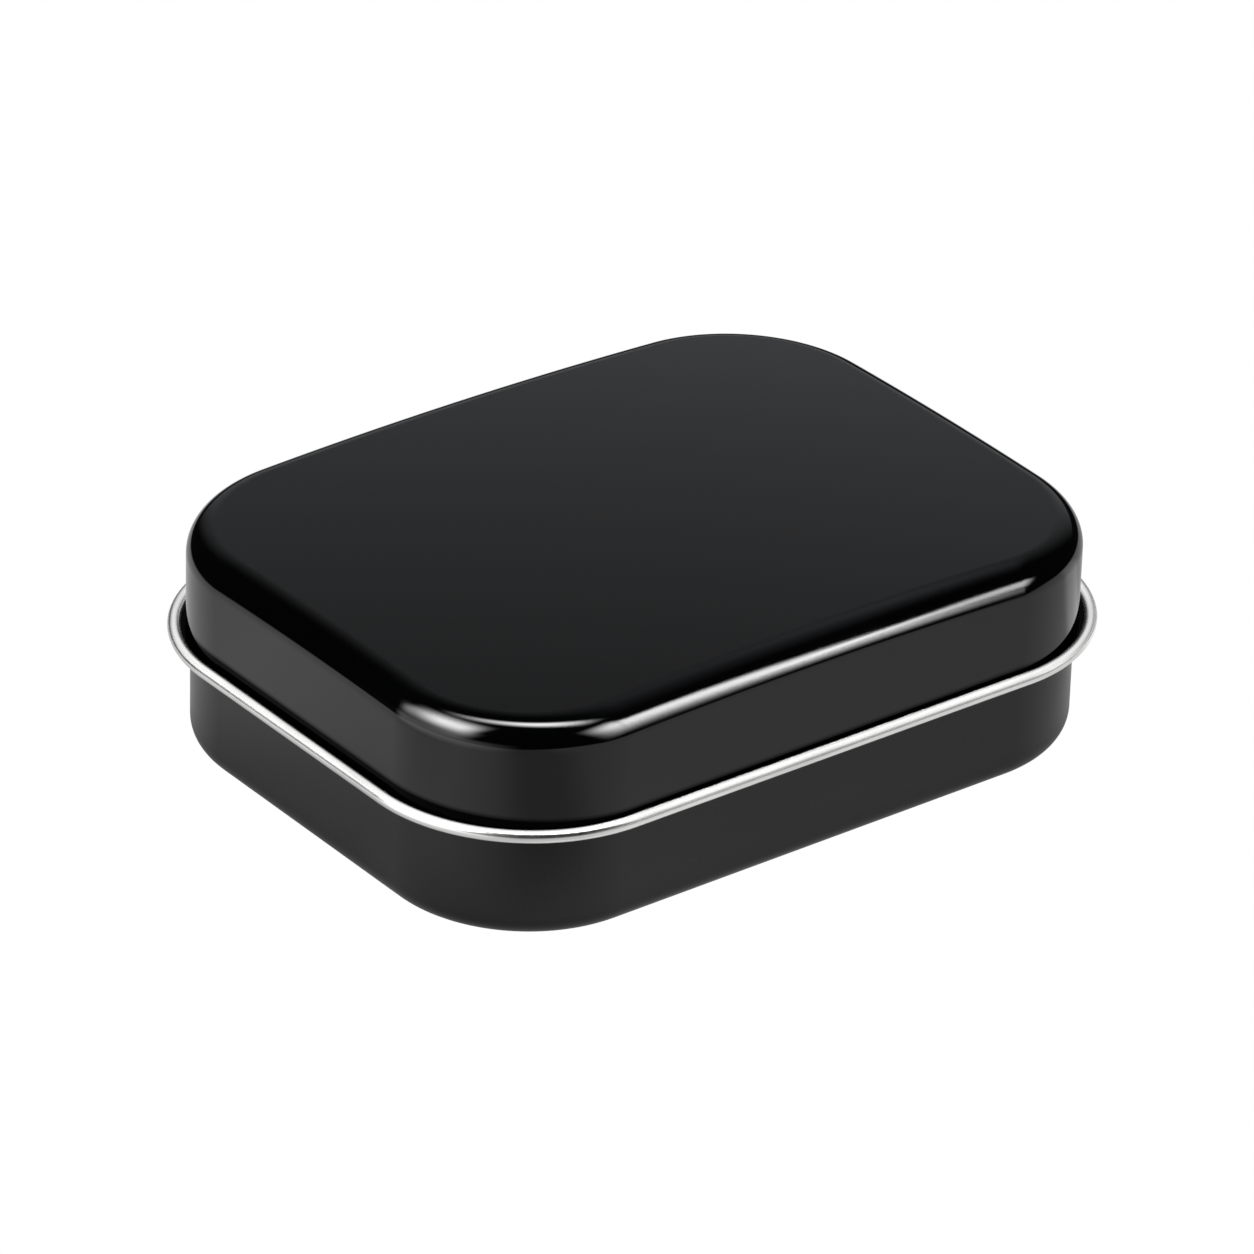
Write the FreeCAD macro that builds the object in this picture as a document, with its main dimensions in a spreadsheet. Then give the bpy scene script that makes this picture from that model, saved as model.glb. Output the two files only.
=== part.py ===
import FreeCAD, Part
import math
import os
import Sketcher

# A hinged pocket tin, closed: X along the long side, front towards -Y, hinge at +Y, standing on Z = 0.

os.makedirs("parts", exist_ok=True)
tin = FreeCAD.newDocument("MintTin")
vector = FreeCAD.Vector

# Driving dimensions, in millimetres and degrees
driving = {
    "lid_length": 80.0,  # over the lid's walls, along X
    "lid_width": 61.2,  # over the lid's walls, along Y
    "corner_radius": 15.9,  # of the lid's outline seen from above
    "total_height": 25.1,  # to the middle of the crowned top
    "crown_radius": 570.0,  # of the shallow dome of the top
    "top_edge_radius": 3.2,
    "sheet_gauge": 0.23,  # tinplate
    "seam_height": 12.5,  # middle of the lid's rolled edge, and the hinge axis
    "roll_radius": 0.65,  # outside of the lid's rolled edge
    "roll_standoff": 1.17,  # middle of the roll, out from the lid's wall
    "roll_turn": 300.0,
    "brim_bend": 0.15,  # inside of the bend from the lid's wall to its brim
    "lid_clearance": 0.2,  # between the lid's wall and the base's
    "base_overlap": 3.8,  # rise of the base above the seam
    "base_edge_radius": 2.6,
    "mouth_radius": 0.55,  # outside of the base's rolled mouth
    "mouth_turn": 300.0,
    "dimple_radius": 3.0,
    "dimple_height": 0.1,
    "dimple_rise": 1.5,  # middle of a dimple above the seam
    "dimple_spacing": 24.0,
    "strap_width": 8.0,
    "strap_drop": 6.0,  # foot of a strap below the hinge axis
    "strap_bend": 0.25,  # inside of the bend from a strap's leaf to its knuckle
    "strap_turn": 290.0,
    "notch_clearance": 0.2,
    "wire_clearance": 0.05,  # between the hinge wire and the rolls around it
    "wire_bite": 3.0,  # length of the wire held at each end
    "wire_margin": 1.9,  # from each end of the wire to where the corner's bend begins
}

# Lengths that follow from the driving ones
base_inset = "(Sizes.sheet_gauge + Sizes.lid_clearance)"
base_length = f"(Sizes.lid_length - 2 * {base_inset})"
base_width = f"(Sizes.lid_width - 2 * {base_inset})"
base_corner = f"(Sizes.corner_radius - {base_inset})"
wall_top = "(Sizes.seam_height + Sizes.base_overlap - Sizes.mouth_radius)"
brim_floor = "(Sizes.seam_height - Sizes.roll_radius)"
hinge_y = "(Sizes.lid_width / 2 + Sizes.roll_standoff)"
hinge_reach = f"(Sizes.roll_standoff + {base_inset})"
notch_width = "(Sizes.strap_width + 2 * Sizes.notch_clearance)"
wire_length = "(Sizes.lid_length - 2 * Sizes.corner_radius - 2 * Sizes.wire_margin)"
edge_gap = f"({wire_length} - 2 * Sizes.wire_bite)"
hinge_spacing = f"({edge_gap} - {notch_width})"

# Left and right along X, seen from the front
sides = {"left": -1, "right": 1}

# Heights closer than this count as one
height_match = 1e-4


def write_sheet():
    sizes = tin.addObject("Spreadsheet::Sheet", "Sizes")
    for row, (name, size) in enumerate(driving.items(), start=1):
        sizes.set(f"A{row}", name)
        sizes.set(f"B{row}", str(size))
        sizes.setAlias(f"B{row}", name)
    tin.recompute()
    return sizes


sheet = write_sheet()


def value(expression):
    return float(sheet.evalExpression(expression))


def bind(feature, expressions):
    for name, expression in expressions.items():
        feature.setExpression(name, expression)


def new_body(label):
    body = tin.addObject("PartDesign::Body", label)
    body.Label = label
    return body


def new_sketch(body, name, role, x="0", y="0", z="0"):
    sketch = body.newObject("Sketcher::SketchObject", name)
    plane = next(part for part in body.Origin.OriginFeatures if part.Role == role)
    sketch.AttachmentSupport = [(plane, "")]
    sketch.MapMode = "FlatFace"
    bind(sketch, {f"AttachmentOffset.Base.{axis}": offset for axis, offset in zip("xyz", (x, y, z))})
    return sketch


def constrain(sketch, kind, *where):
    return sketch.addConstraint(Sketcher.Constraint(kind, *where))


def dimension(sketch, name, expression, kind, *where):
    size = value(expression)
    if kind == "Angle":
        size = math.radians(size)
        expression = f"{expression} * 1 deg"
    index = constrain(sketch, kind, *where, size)
    sketch.renameConstraint(index, name)
    sketch.setExpression(f"Constraints.{name}", expression)


def arc(middle, radius, start, end):
    circle = Part.Circle(middle, vector(0, 0, 1), radius)
    return Part.ArcOfCircle(circle, math.radians(start), math.radians(end))


def rounded_rectangle(body, name, length, width, radius, height):
    """An outline about the Z axis: four corners, each followed by the side that leaves it."""
    sketch = new_sketch(body, name, "XY_Plane", z=height)
    corner = value(radius)
    middle_x = value(length) / 2 - corner
    middle_y = value(width) / 2 - corner
    signs = [(1, -1), (1, 1), (-1, 1), (-1, -1)]
    corners = []
    for quarter, (sign_x, sign_y) in enumerate(signs):
        start = 90 * quarter - 90
        corners.append(arc(vector(sign_x * middle_x, sign_y * middle_y), corner, start, start + 90))
    for quarter, bend in enumerate(corners):
        following = corners[(quarter + 1) % 4]
        sketch.addGeometry(bend, False)
        sketch.addGeometry(Part.LineSegment(bend.EndPoint, following.StartPoint), False)
    right, back, left, front = 1, 3, 5, 7
    for index in range(8):
        constrain(sketch, "Tangent", index, 2, (index + 1) % 8, 1)
    for index in (right, left):
        constrain(sketch, "Vertical", index)
    for index in (back, front):
        constrain(sketch, "Horizontal", index)
    for index in (2, 4, 6):
        constrain(sketch, "Equal", 0, index)
    constrain(sketch, "Symmetric", 0, 3, 4, 3, -1, 1)
    dimension(sketch, "length", length, "DistanceX", left, 1, right, 1)
    dimension(sketch, "width", width, "DistanceY", front, 1, back, 1)
    dimension(sketch, "radius", radius, "Radius", 0)
    return sketch


def roll_section(body, name, y, z, radius, start, turn):
    """The section of a rolled edge at the back of the tin, open where the sheet's raw edge ends."""
    sketch = new_sketch(body, name, "YZ_Plane", x=y, y=z)
    inside = f"({radius} - Sizes.sheet_gauge)"
    origin = vector(0, 0, 0)
    outer = arc(origin, value(radius), start, start + value(turn))
    inner = arc(origin, value(inside), start, start + value(turn))
    sketch.addGeometry(outer, False)
    sketch.addGeometry(inner, False)
    sketch.addGeometry(Part.LineSegment(outer.StartPoint, inner.StartPoint), False)
    sketch.addGeometry(Part.LineSegment(outer.EndPoint, inner.EndPoint), False)
    for index in (0, 1):
        constrain(sketch, "Coincident", index, 3, -1, 1)
    for line, end in ((2, 1), (3, 2)):
        constrain(sketch, "Coincident", line, 1, 0, end)
        constrain(sketch, "Coincident", line, 2, 1, end)
        constrain(sketch, "PointOnObject", -1, 1, line)
    constrain(sketch, "Horizontal" if start == 0 else "Vertical", 2)
    dimension(sketch, "outside", radius, "Radius", 0)
    dimension(sketch, "inside", inside, "Radius", 1)
    dimension(sketch, "turn", turn, "Angle", 0)
    return sketch


def pad(body, name, profile, length):
    feature = body.newObject("PartDesign::Pad", name)
    feature.Profile = profile
    feature.setExpression("Length", length)
    tin.recompute()
    return feature


def sweep(body, name, section, path):
    feature = body.newObject("PartDesign::AdditivePipe", name)
    tin.recompute()
    feature.Profile = section
    feature.Spine = (path, [f"Edge{index}" for index in range(1, len(path.Shape.Edges) + 1)])
    tin.recompute()
    return feature


def round_edges(body, name, base, edges, radius):
    """Rounds those edges of the base that two faces share."""
    names = []
    for index, edge in enumerate(base.Shape.Edges, start=1):
        chosen = any(edge.isSame(other) for other in edges)
        if chosen and len(base.Shape.ancestorsOfType(edge, Part.Face)) == 2:
            names.append(f"Edge{index}")
    feature = body.newObject("PartDesign::Fillet", name)
    feature.Base = (base, names)
    feature.setExpression("Radius", radius)
    tin.recompute()
    return feature


def level_face(shape, height):
    """The widest flat face at a height."""
    level = []
    for face in shape.Faces:
        box = face.BoundBox
        if box.ZLength < height_match and abs(box.ZMin - height) < height_match:
            level.append(face)
    return max(level, key=lambda face: face.BoundBox.XLength)


def hole_edges(face):
    return [edge for wire in face.Wires if not wire.isSame(face.OuterWire) for edge in wire.Edges]


def station(side):
    return f"({sides[side]} * {hinge_spacing} / 2)"


def cut_back_edge(body, name, middle, length):
    """Takes a stretch of the lid's lower back edge away, about a place along X."""
    gap = body.newObject("PartDesign::SubtractiveBox", name)
    bind(gap, {
        "Length": length,
        "Width": "2 * Sizes.roll_standoff + 2 * Sizes.roll_radius",
        "Height": "2 * Sizes.roll_radius + 2 * Sizes.notch_clearance",
        "Placement.Base.x": f"{middle} - {length} / 2",
        "Placement.Base.y": f"{hinge_y} - 2 * Sizes.roll_standoff",
        "Placement.Base.z": f"{brim_floor} - Sizes.notch_clearance",
    })
    tin.recompute()


def combine(body, name, kind, tool):
    feature = body.newObject("PartDesign::Boolean", name)
    feature.setObjects([tool])
    feature.Type = kind
    tin.recompute()
    return feature


def make_tray_block(label, inset, height):
    """The base's outside with no inset, or its well when inset by the sheet."""
    body = new_body(label)
    outline = rounded_rectangle(
        body, f"{label}_outline", f"{base_length} - 2 * {inset}", f"{base_width} - 2 * {inset}",
        f"{base_corner} - {inset}", inset)
    block = pad(body, f"{label}_block", outline, f"{height} - {inset}")
    foot = level_face(block.Shape, value(inset))
    round_edges(body, f"{label}_round", block, foot.Edges, f"Sizes.base_edge_radius - {inset}")
    return body


def make_base_tray():
    well = make_tray_block("tray_well", "Sizes.sheet_gauge", "Sizes.total_height")
    body = make_tray_block("base_tray", "0", wall_top)
    for side, sign in sides.items():
        dimple = body.newObject("PartDesign::AdditiveSphere", f"{side}_dimple")
        bind(dimple, {
            "Radius": "Sizes.dimple_radius",
            "Placement.Base.x": f"{sign} * Sizes.dimple_spacing / 2",
            "Placement.Base.y": f"Sizes.dimple_radius - Sizes.dimple_height - {base_width} / 2",
            "Placement.Base.z": "Sizes.seam_height + Sizes.dimple_rise",
        })
        tin.recompute()
    combine(body, "tray_shell", "Cut", well)
    return body


def make_base_rolled_mouth():
    body = new_body("base_rolled_mouth")
    path = rounded_rectangle(
        body, "mouth_path", f"{base_length} - 2 * Sizes.mouth_radius",
        f"{base_width} - 2 * Sizes.mouth_radius", f"{base_corner} - Sizes.mouth_radius", wall_top)
    section = roll_section(
        body, "mouth_section", f"{base_width} / 2 - Sizes.mouth_radius", wall_top,
        "Sizes.mouth_radius", 0, "Sizes.mouth_turn")
    tin.recompute()
    sweep(body, "mouth_roll", section, path)
    return body


def make_crown(label, inset):
    """The ball whose top is the lid's domed top, turned so that its seam and poles lie below the lid."""
    body = new_body(label)
    ball = body.newObject("PartDesign::AdditiveSphere", f"{label}_ball")
    ball.Placement = FreeCAD.Placement(vector(0, 0, 0), FreeCAD.Rotation(vector(0, 1, 0), 90))
    bind(ball, {
        "Radius": f"Sizes.crown_radius - {inset}",
        "Placement.Base.z": "Sizes.total_height - Sizes.crown_radius",
    })
    tin.recompute()
    return body


def make_domed_block(label, inset):
    """The lid's outside with no inset, or its hollow when inset by the sheet."""
    crown = make_crown(f"{label}_crown", inset)
    body = new_body(label)
    outline = rounded_rectangle(
        body, f"{label}_outline", f"Sizes.lid_length - 2 * {inset}", f"Sizes.lid_width - 2 * {inset}",
        f"Sizes.corner_radius - {inset}", brim_floor)
    pad(body, f"{label}_block", outline, "Sizes.total_height")
    dome = combine(body, f"{label}_dome", "Common", crown)
    top = max(dome.Shape.Faces, key=lambda face: face.CenterOfMass.z)
    round_edges(body, f"{label}_round", dome, top.Edges, f"Sizes.top_edge_radius - {inset}")
    return body


def make_lid_cover():
    hollow = make_domed_block("lid_hollow", "Sizes.sheet_gauge")
    body = make_domed_block("lid_cover", "0")
    brim = rounded_rectangle(
        body, "brim_outline", "Sizes.lid_length + 2 * Sizes.roll_standoff",
        "Sizes.lid_width + 2 * Sizes.roll_standoff", "Sizes.corner_radius + Sizes.roll_standoff",
        brim_floor)
    pad(body, "brim", brim, "Sizes.sheet_gauge")
    shell = combine(body, "lid_shell", "Cut", hollow)
    brim_top = level_face(shell.Shape, value(f"{brim_floor} + Sizes.sheet_gauge"))
    outer_bend = round_edges(body, "brim_outer_bend", shell, hole_edges(brim_top), "Sizes.brim_bend")
    brim_under = level_face(outer_bend.Shape, value(brim_floor))
    round_edges(
        body, "brim_inner_bend", outer_bend, hole_edges(brim_under), "Sizes.brim_bend + Sizes.sheet_gauge")
    for side in sides:
        cut_back_edge(body, f"{side}_notch", station(side), notch_width)
    return body


def edge_section(body, name):
    return roll_section(
        body, name, hinge_y, "Sizes.seam_height", "Sizes.roll_radius", 270, "Sizes.roll_turn")


def make_lid_rolled_edge():
    body = new_body("lid_rolled_edge")
    path = rounded_rectangle(
        body, "edge_path", "Sizes.lid_length + 2 * Sizes.roll_standoff",
        "Sizes.lid_width + 2 * Sizes.roll_standoff", "Sizes.corner_radius + Sizes.roll_standoff",
        "Sizes.seam_height")
    section = edge_section(body, "edge_section")
    tin.recompute()
    sweep(body, "edge_roll", section, path)
    cut_back_edge(body, "hinge_gap", "0", edge_gap)
    return body


def make_lid_hinge_barrel():
    """The stretch of the lid's rolled edge between the two straps."""
    body = new_body("lid_hinge_barrel")
    section = edge_section(body, "barrel_section")
    barrel = pad(body, "barrel_roll", section, f"{hinge_spacing} - {notch_width}")
    barrel.SideType = "Symmetric"
    tin.recompute()
    return body


def strap_path(body, side):
    """The middle of a strap's sheet: up the base's wall, out under the hinge wire and round it."""
    sketch = new_sketch(body, f"{side}_strap_path", "YZ_Plane", hinge_y, "Sizes.seam_height", station(side))
    half = "Sizes.sheet_gauge / 2"
    bend = f"(Sizes.strap_bend + {half})"
    knuckle = f"(Sizes.roll_radius - {half})"
    wall = f"({hinge_reach} - {half})"
    bend_middle = vector(value(bend) - value(wall), -value(knuckle) - value(bend), 0)
    corner = arc(bend_middle, value(bend), 90, 180)
    loop = arc(vector(0, 0, 0), value(knuckle), 270, 270 + value("Sizes.strap_turn"))
    foot = vector(-value(wall), -value("Sizes.strap_drop"), 0)
    sketch.addGeometry(Part.LineSegment(foot, corner.EndPoint), False)
    sketch.addGeometry(corner, False)
    sketch.addGeometry(Part.LineSegment(corner.StartPoint, loop.StartPoint), False)
    sketch.addGeometry(loop, False)
    constrain(sketch, "Tangent", 0, 2, 1, 2)
    constrain(sketch, "Tangent", 1, 1, 2, 1)
    constrain(sketch, "Tangent", 2, 2, 3, 1)
    constrain(sketch, "Vertical", 0)
    constrain(sketch, "Horizontal", 2)
    constrain(sketch, "Coincident", 3, 3, -1, 1)
    dimension(sketch, "wall", wall, "DistanceX", 0, 1, -1, 1)
    dimension(sketch, "drop", "Sizes.strap_drop", "DistanceY", 0, 1, -1, 1)
    dimension(sketch, "bend", bend, "Radius", 1)
    dimension(sketch, "knuckle", knuckle, "Radius", 3)
    dimension(sketch, "turn", "Sizes.strap_turn", "Angle", 3)
    return sketch


def strap_section(body, side):
    """The cut end of a strap at its foot."""
    sketch = new_sketch(
        body, f"{side}_strap_section", "XY_Plane", station(side),
        f"{hinge_y} - {hinge_reach} + Sizes.sheet_gauge / 2", "Sizes.seam_height - Sizes.strap_drop")
    half_width = value("Sizes.strap_width") / 2
    half_gauge = value("Sizes.sheet_gauge") / 2
    signs = [(-1, -1), (1, -1), (1, 1), (-1, 1)]
    points = [vector(across * half_width, through * half_gauge, 0) for across, through in signs]
    for index, point in enumerate(points):
        sketch.addGeometry(Part.LineSegment(point, points[(index + 1) % 4]), False)
    for index in range(4):
        constrain(sketch, "Coincident", index, 2, (index + 1) % 4, 1)
    for index in (0, 2):
        constrain(sketch, "Horizontal", index)
    for index in (1, 3):
        constrain(sketch, "Vertical", index)
    constrain(sketch, "Symmetric", 0, 1, 2, 1, -1, 1)
    dimension(sketch, "width", "Sizes.strap_width", "DistanceX", 0, 1, 0, 2)
    dimension(sketch, "gauge", "Sizes.sheet_gauge", "DistanceY", 1, 1, 1, 2)
    return sketch


def make_hinge_strap(side):
    body = new_body(f"hinge_strap_{side}")
    path = strap_path(body, side)
    section = strap_section(body, side)
    tin.recompute()
    sweep(body, f"{side}_strap", section, path)
    return body


def make_hinge_wire():
    wire = tin.addObject("Part::Cylinder", "hinge_wire")
    wire.Label = "hinge_wire"
    wire.Placement = FreeCAD.Placement(vector(0, 0, 0), FreeCAD.Rotation(vector(0, 1, 0), 90))
    bind(wire, {
        "Radius": "Sizes.roll_radius - Sizes.sheet_gauge - Sizes.wire_clearance",
        "Height": wire_length,
        "Placement.Base.x": f"-{wire_length} / 2",
        "Placement.Base.y": hinge_y,
        "Placement.Base.z": "Sizes.seam_height",
    })
    return wire


def check_document():
    for item in tin.Objects:
        if "Invalid" in item.State or "Error" in item.State:
            raise RuntimeError(f"{item.Label} did not build: {item.State}")


def export(part):
    if part.Shape.isNull() or not part.Shape.isValid() or len(part.Shape.Solids) != 1:
        raise RuntimeError(f"{part.Label} is not one valid solid")
    part.Shape.exportStep(f"parts/{part.Label}.step")
    box = part.Shape.optimalBoundingBox(False)
    extents = f"{box.XLength:.2f} x {box.YLength:.2f} x {box.ZLength:.2f} mm"
    print(f"{part.Label}: {part.Shape.Volume:.2f} mm3, {extents}")


parts = [
    make_base_tray(),
    make_base_rolled_mouth(),
    make_lid_cover(),
    make_lid_rolled_edge(),
    make_lid_hinge_barrel(),
    make_hinge_strap("left"),
    make_hinge_strap("right"),
    make_hinge_wire(),
]
tin.recompute()
check_document()
for part in parts:
    export(part)
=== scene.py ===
import math

import bpy
import numpy as np
from mathutils import Matrix, Vector


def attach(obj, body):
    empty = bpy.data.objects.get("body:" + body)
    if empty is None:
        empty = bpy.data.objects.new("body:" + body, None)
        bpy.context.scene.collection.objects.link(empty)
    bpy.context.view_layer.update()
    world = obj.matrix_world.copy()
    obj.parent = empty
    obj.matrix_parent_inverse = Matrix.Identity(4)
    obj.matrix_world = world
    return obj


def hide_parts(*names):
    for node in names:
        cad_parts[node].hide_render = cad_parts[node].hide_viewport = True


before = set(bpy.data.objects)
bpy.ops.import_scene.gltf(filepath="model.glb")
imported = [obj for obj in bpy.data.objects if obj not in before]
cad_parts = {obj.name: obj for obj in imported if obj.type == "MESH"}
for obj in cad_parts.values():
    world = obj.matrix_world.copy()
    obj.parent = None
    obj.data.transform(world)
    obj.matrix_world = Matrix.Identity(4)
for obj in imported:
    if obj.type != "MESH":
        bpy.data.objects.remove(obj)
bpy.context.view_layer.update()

mm = 0.001  # sizes below are in millimetres, the scene is in metres

# the rounded rectangle that the lid's wall follows, and how finely it is walked
outline = {
    "length": 80.0,
    "width": 61.2,
    "corner": 15.9,
    "gauge": 0.23,  # thickness of the tinplate
    "bareSkin": 0.03,  # of it, the inner side that is left bare
    "seam": 12.5,  # height of the rolled edge's middle
    "cornerSteps": 36,
    "endSteps": 16,
    "sideStep": 2.0,
    "stopGaps": (0.5, 0.8),  # least distance between two stops, and from the last one to the corner
    "notchEdges": (10.8, 19.2),  # from the middle of the back
    "dimpleAt": 12.0,  # from the middle of the front
    "dimpleStep": 0.18,
    "dimpleStops": range(-5, 7),
    "straightOn": 0.9999,  # how nearly a station faces straight to the back or front
}


def sideStops():
    run = outline["length"] / 2 - outline["corner"]
    fixed = list(outline["notchEdges"])
    fixed += [outline["dimpleAt"] + outline["dimpleStep"] * k for k in outline["dimpleStops"]]
    apart, fromCorner = outline["stopGaps"]
    filler = [x for x in np.arange(0, run - fromCorner, outline["sideStep"])
              if min(abs(x - stop) for stop in fixed) > apart]
    half = sorted(filler + fixed + [run])
    return np.array([-x for x in reversed(half[1:])] + half)


sideX = sideStops()
sideSteps = len(sideX) - 1


def walkOutline():
    runX = outline["length"] / 2 - outline["corner"]
    runY = outline["width"] / 2 - outline["corner"]
    spine, out = [], []

    def bend(x, y, start, steps, sweep=90.0):
        for k in range(steps):
            angle = math.radians(start + sweep * k / steps)
            spine.append((x, y))
            out.append((math.cos(angle), math.sin(angle)))

    def straight(points, direction):
        for point in points:
            spine.append(point)
            out.append(direction)

    endY = np.linspace(-runY, runY, outline["endSteps"] + 1)
    half = outline["cornerSteps"] // 2
    bend(runX, -runY, -45, half, 45)
    straight([(runX, y) for y in endY[:-1]], (1, 0))
    bend(runX, runY, 0, 2 * half)
    straight([(x, runY) for x in sideX[::-1][:-1]], (0, 1))
    bend(-runX, runY, 90, 2 * half)
    straight([(-runX, y) for y in endY[::-1][:-1]], (-1, 0))
    bend(-runX, -runY, 180, 2 * half)
    straight([(x, -runY) for x in sideX[:-1]], (0, -1))
    bend(runX, -runY, 270, half, 45)
    return np.array(spine), np.array(out)


spine, out = walkOutline()
around = len(spine)
onBack = out[:, 1] > outline["straightOn"]
onFront = out[:, 1] < -outline["straightOn"]


def planAt(offset):
    return spine + out * (outline["corner"] + offset)


def ringAt(offset, height):
    return np.column_stack([planAt(offset), np.broadcast_to(height, around)])


def facing(outward, upward):
    return np.column_stack([out * outward, np.full(around, upward)])


def columnQuads(rows):
    quads = []
    for row in range(rows - 1):
        for k in range(around):
            follow = (k + 1) % around
            quads.append((row * around + k, (row + 1) * around + k,
                          (row + 1) * around + follow, row * around + follow))
    return quads


# fills a loop of the outline with a plain grid, so that no pole shows on a flat face
def capGrid(loop, first):
    rows = outline["cornerSteps"] + outline["endSteps"]
    columns = outline["cornerSteps"] + sideSteps

    def spot(j, k):
        if k == 0:
            return j
        if j == rows:
            return rows + k
        if k == columns:
            return 2 * rows + columns - j
        if j == 0:
            return (2 * rows + 2 * columns - k) % around
        return first + (j - 1) * (columns - 1) + k - 1

    right = np.array([loop[spot(j, 0)] for j in range(rows + 1)])
    left = np.array([loop[spot(j, columns)] for j in range(rows + 1)])
    front = np.array([loop[spot(0, k)] for k in range(columns + 1)])
    back = np.array([loop[spot(rows, k)] for k in range(columns + 1)])
    inside = []
    for j in range(1, rows):
        s = (right[j, 1] - right[0, 1]) / (right[-1, 1] - right[0, 1])
        for k in range(1, columns):
            t = (front[k, 0] - front[0, 0]) / (front[-1, 0] - front[0, 0])
            ruled = (1 - t) * right[j] + t * left[j] + (1 - s) * front[k] + s * back[k]
            corners = ((1 - s) * (1 - t) * right[0] + s * (1 - t) * right[-1]
                       + (1 - s) * t * left[0] + s * t * left[-1])
            inside.append(ruled - corners)
    quads = [(spot(j, k), spot(j + 1, k), spot(j + 1, k + 1), spot(j, k + 1))
             for j in range(rows) for k in range(columns)]
    return np.array(inside), quads


def addToScene(name, content):
    thing = bpy.data.objects.new(name, content)
    bpy.context.collection.objects.link(thing)
    return thing


# one sheet of metal: the given face, its other side, and the cut edges between them
# depths are how far the two sides lie below the given face
def pressSheet(name, points, normals, quads, finishes, grain=None, depths=(0.0, outline["gauge"])):
    used = sorted({v for quad in quads for v in quad})
    place = {v: k for k, v in enumerate(used)}
    points, normals = points[used], normals[used]
    quads = [tuple(place[v] for v in quad) for quad in quads]
    count = len(points)
    turned = []
    for quad in quads:
        a, b, c, d = (points[v] for v in quad)
        away = np.dot(np.cross(c - a, d - b), normals[list(quad)].sum(0))
        turned.append(quad if away > 0 else quad[::-1])
    other = [tuple(v + count for v in quad[::-1]) for quad in turned]
    edges = {(quad[k], quad[(k + 1) % 4]) for quad in turned for k in range(4)}
    rim = [(b, a, a + count, b + count) for a, b in edges if (b, a) not in edges]
    rim.sort()
    faces = turned + other + rim
    both = np.vstack([points - depths[0] * normals, points - depths[1] * normals]) * mm
    mesh = bpy.data.meshes.new(name)
    mesh.from_pydata(both.tolist(), [], faces)
    corners = []
    for index, face in enumerate(faces):
        if index < len(turned):
            corners += [normals[v] for v in face]
        elif index < 2 * len(turned):
            corners += [-normals[v - count] for v in face]
        else:
            flat = np.cross(both[face[2]] - both[face[0]], both[face[3]] - both[face[1]])
            corners += [flat / np.linalg.norm(flat)] * 4
    for finish in finishes:
        mesh.materials.append(finish)
    mesh.polygons.foreach_set("material_index", [0] * len(turned) + [1] * len(other) + [2] * len(rim))
    mesh.polygons.foreach_set("use_smooth", [True] * len(faces))
    if grain is not None:
        layer = mesh.uv_layers.new(name="grain")
        along = np.vstack([grain[used], grain[used]])
        layer.data.foreach_set("uv", np.array([along[v] for face in faces for v in face]).ravel())
    mesh.normals_split_custom_set([tuple(normal) for normal in corners])
    mesh.update()
    return addToScene(name, mesh)


# the lacquered outer layer of a sheet, and its bare inner side as a layer of its own
def pressOuter(name, points, normals, quads, finish):
    depths = (0.0, outline["gauge"] - outline["bareSkin"])
    return pressSheet(name, points, normals, quads, [finish, insideFinish, insideFinish], depths=depths)


def pressInner(name, points, normals, quads):
    depths = (outline["gauge"] - outline["bareSkin"], outline["gauge"])
    return pressSheet(name, points, normals, quads, [insideFinish] * 3, depths=depths)


def addNode(tree, kind, inputs=None, **settings):
    node = tree.nodes.new(kind)
    for key, setting in settings.items():
        setattr(node, key, setting)
    for socket, amount in (inputs or {}).items():
        node.inputs[socket].default_value = amount
    return node


def emptyFinish(name):
    finish = bpy.data.materials.new(name)
    finish.use_nodes = True
    finish.node_tree.nodes.clear()
    return finish, finish.node_tree


def newFinish(name):
    finish, tree = emptyFinish(name)
    shader = addNode(tree, "ShaderNodeBsdfPrincipled")
    output = addNode(tree, "ShaderNodeOutputMaterial")
    tree.links.new(shader.outputs["BSDF"], output.inputs["Surface"])
    return finish, tree, shader


def stretched(tree, source, scale):
    mapping = addNode(tree, "ShaderNodeMapping", {"Scale": scale})
    tree.links.new(source, mapping.inputs["Vector"])
    return mapping.outputs["Vector"]


def noise(tree, vector, scale, detail=3.0, roughness=0.5):
    texture = addNode(tree, "ShaderNodeTexNoise", {"Scale": scale, "Detail": detail, "Roughness": roughness})
    tree.links.new(vector, texture.inputs["Vector"])
    return texture.outputs["Fac"]


def spread(tree, source, low, high, fromLow=0.3, fromHigh=0.7):
    node = addNode(tree, "ShaderNodeMapRange", {
        "From Min": fromLow, "From Max": fromHigh, "To Min": low, "To Max": high})
    tree.links.new(source, node.inputs["Value"])
    return node.outputs["Result"]


# colours a finish from its dark to its light
def colourBy(tree, shader, source, finish, low=0.3, high=0.7):
    ramp = addNode(tree, "ShaderNodeValToRGB")
    for k, (position, colour) in enumerate(((low, finish["dark"]), (high, finish["light"]))):
        stop = ramp.color_ramp.elements[k]
        stop.position = position
        stop.color = (*colour, 1)
    tree.links.new(source, ramp.inputs["Fac"])
    tree.links.new(ramp.outputs["Color"], shader.inputs["Base Color"])


def relief(tree, height, depth, after=None):
    bump = addNode(tree, "ShaderNodeBump", {"Strength": 1.0, "Distance": depth})
    tree.links.new(height, bump.inputs["Height"])
    if after is not None:
        tree.links.new(after, bump.inputs["Normal"])
    return bump.outputs["Normal"]


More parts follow.
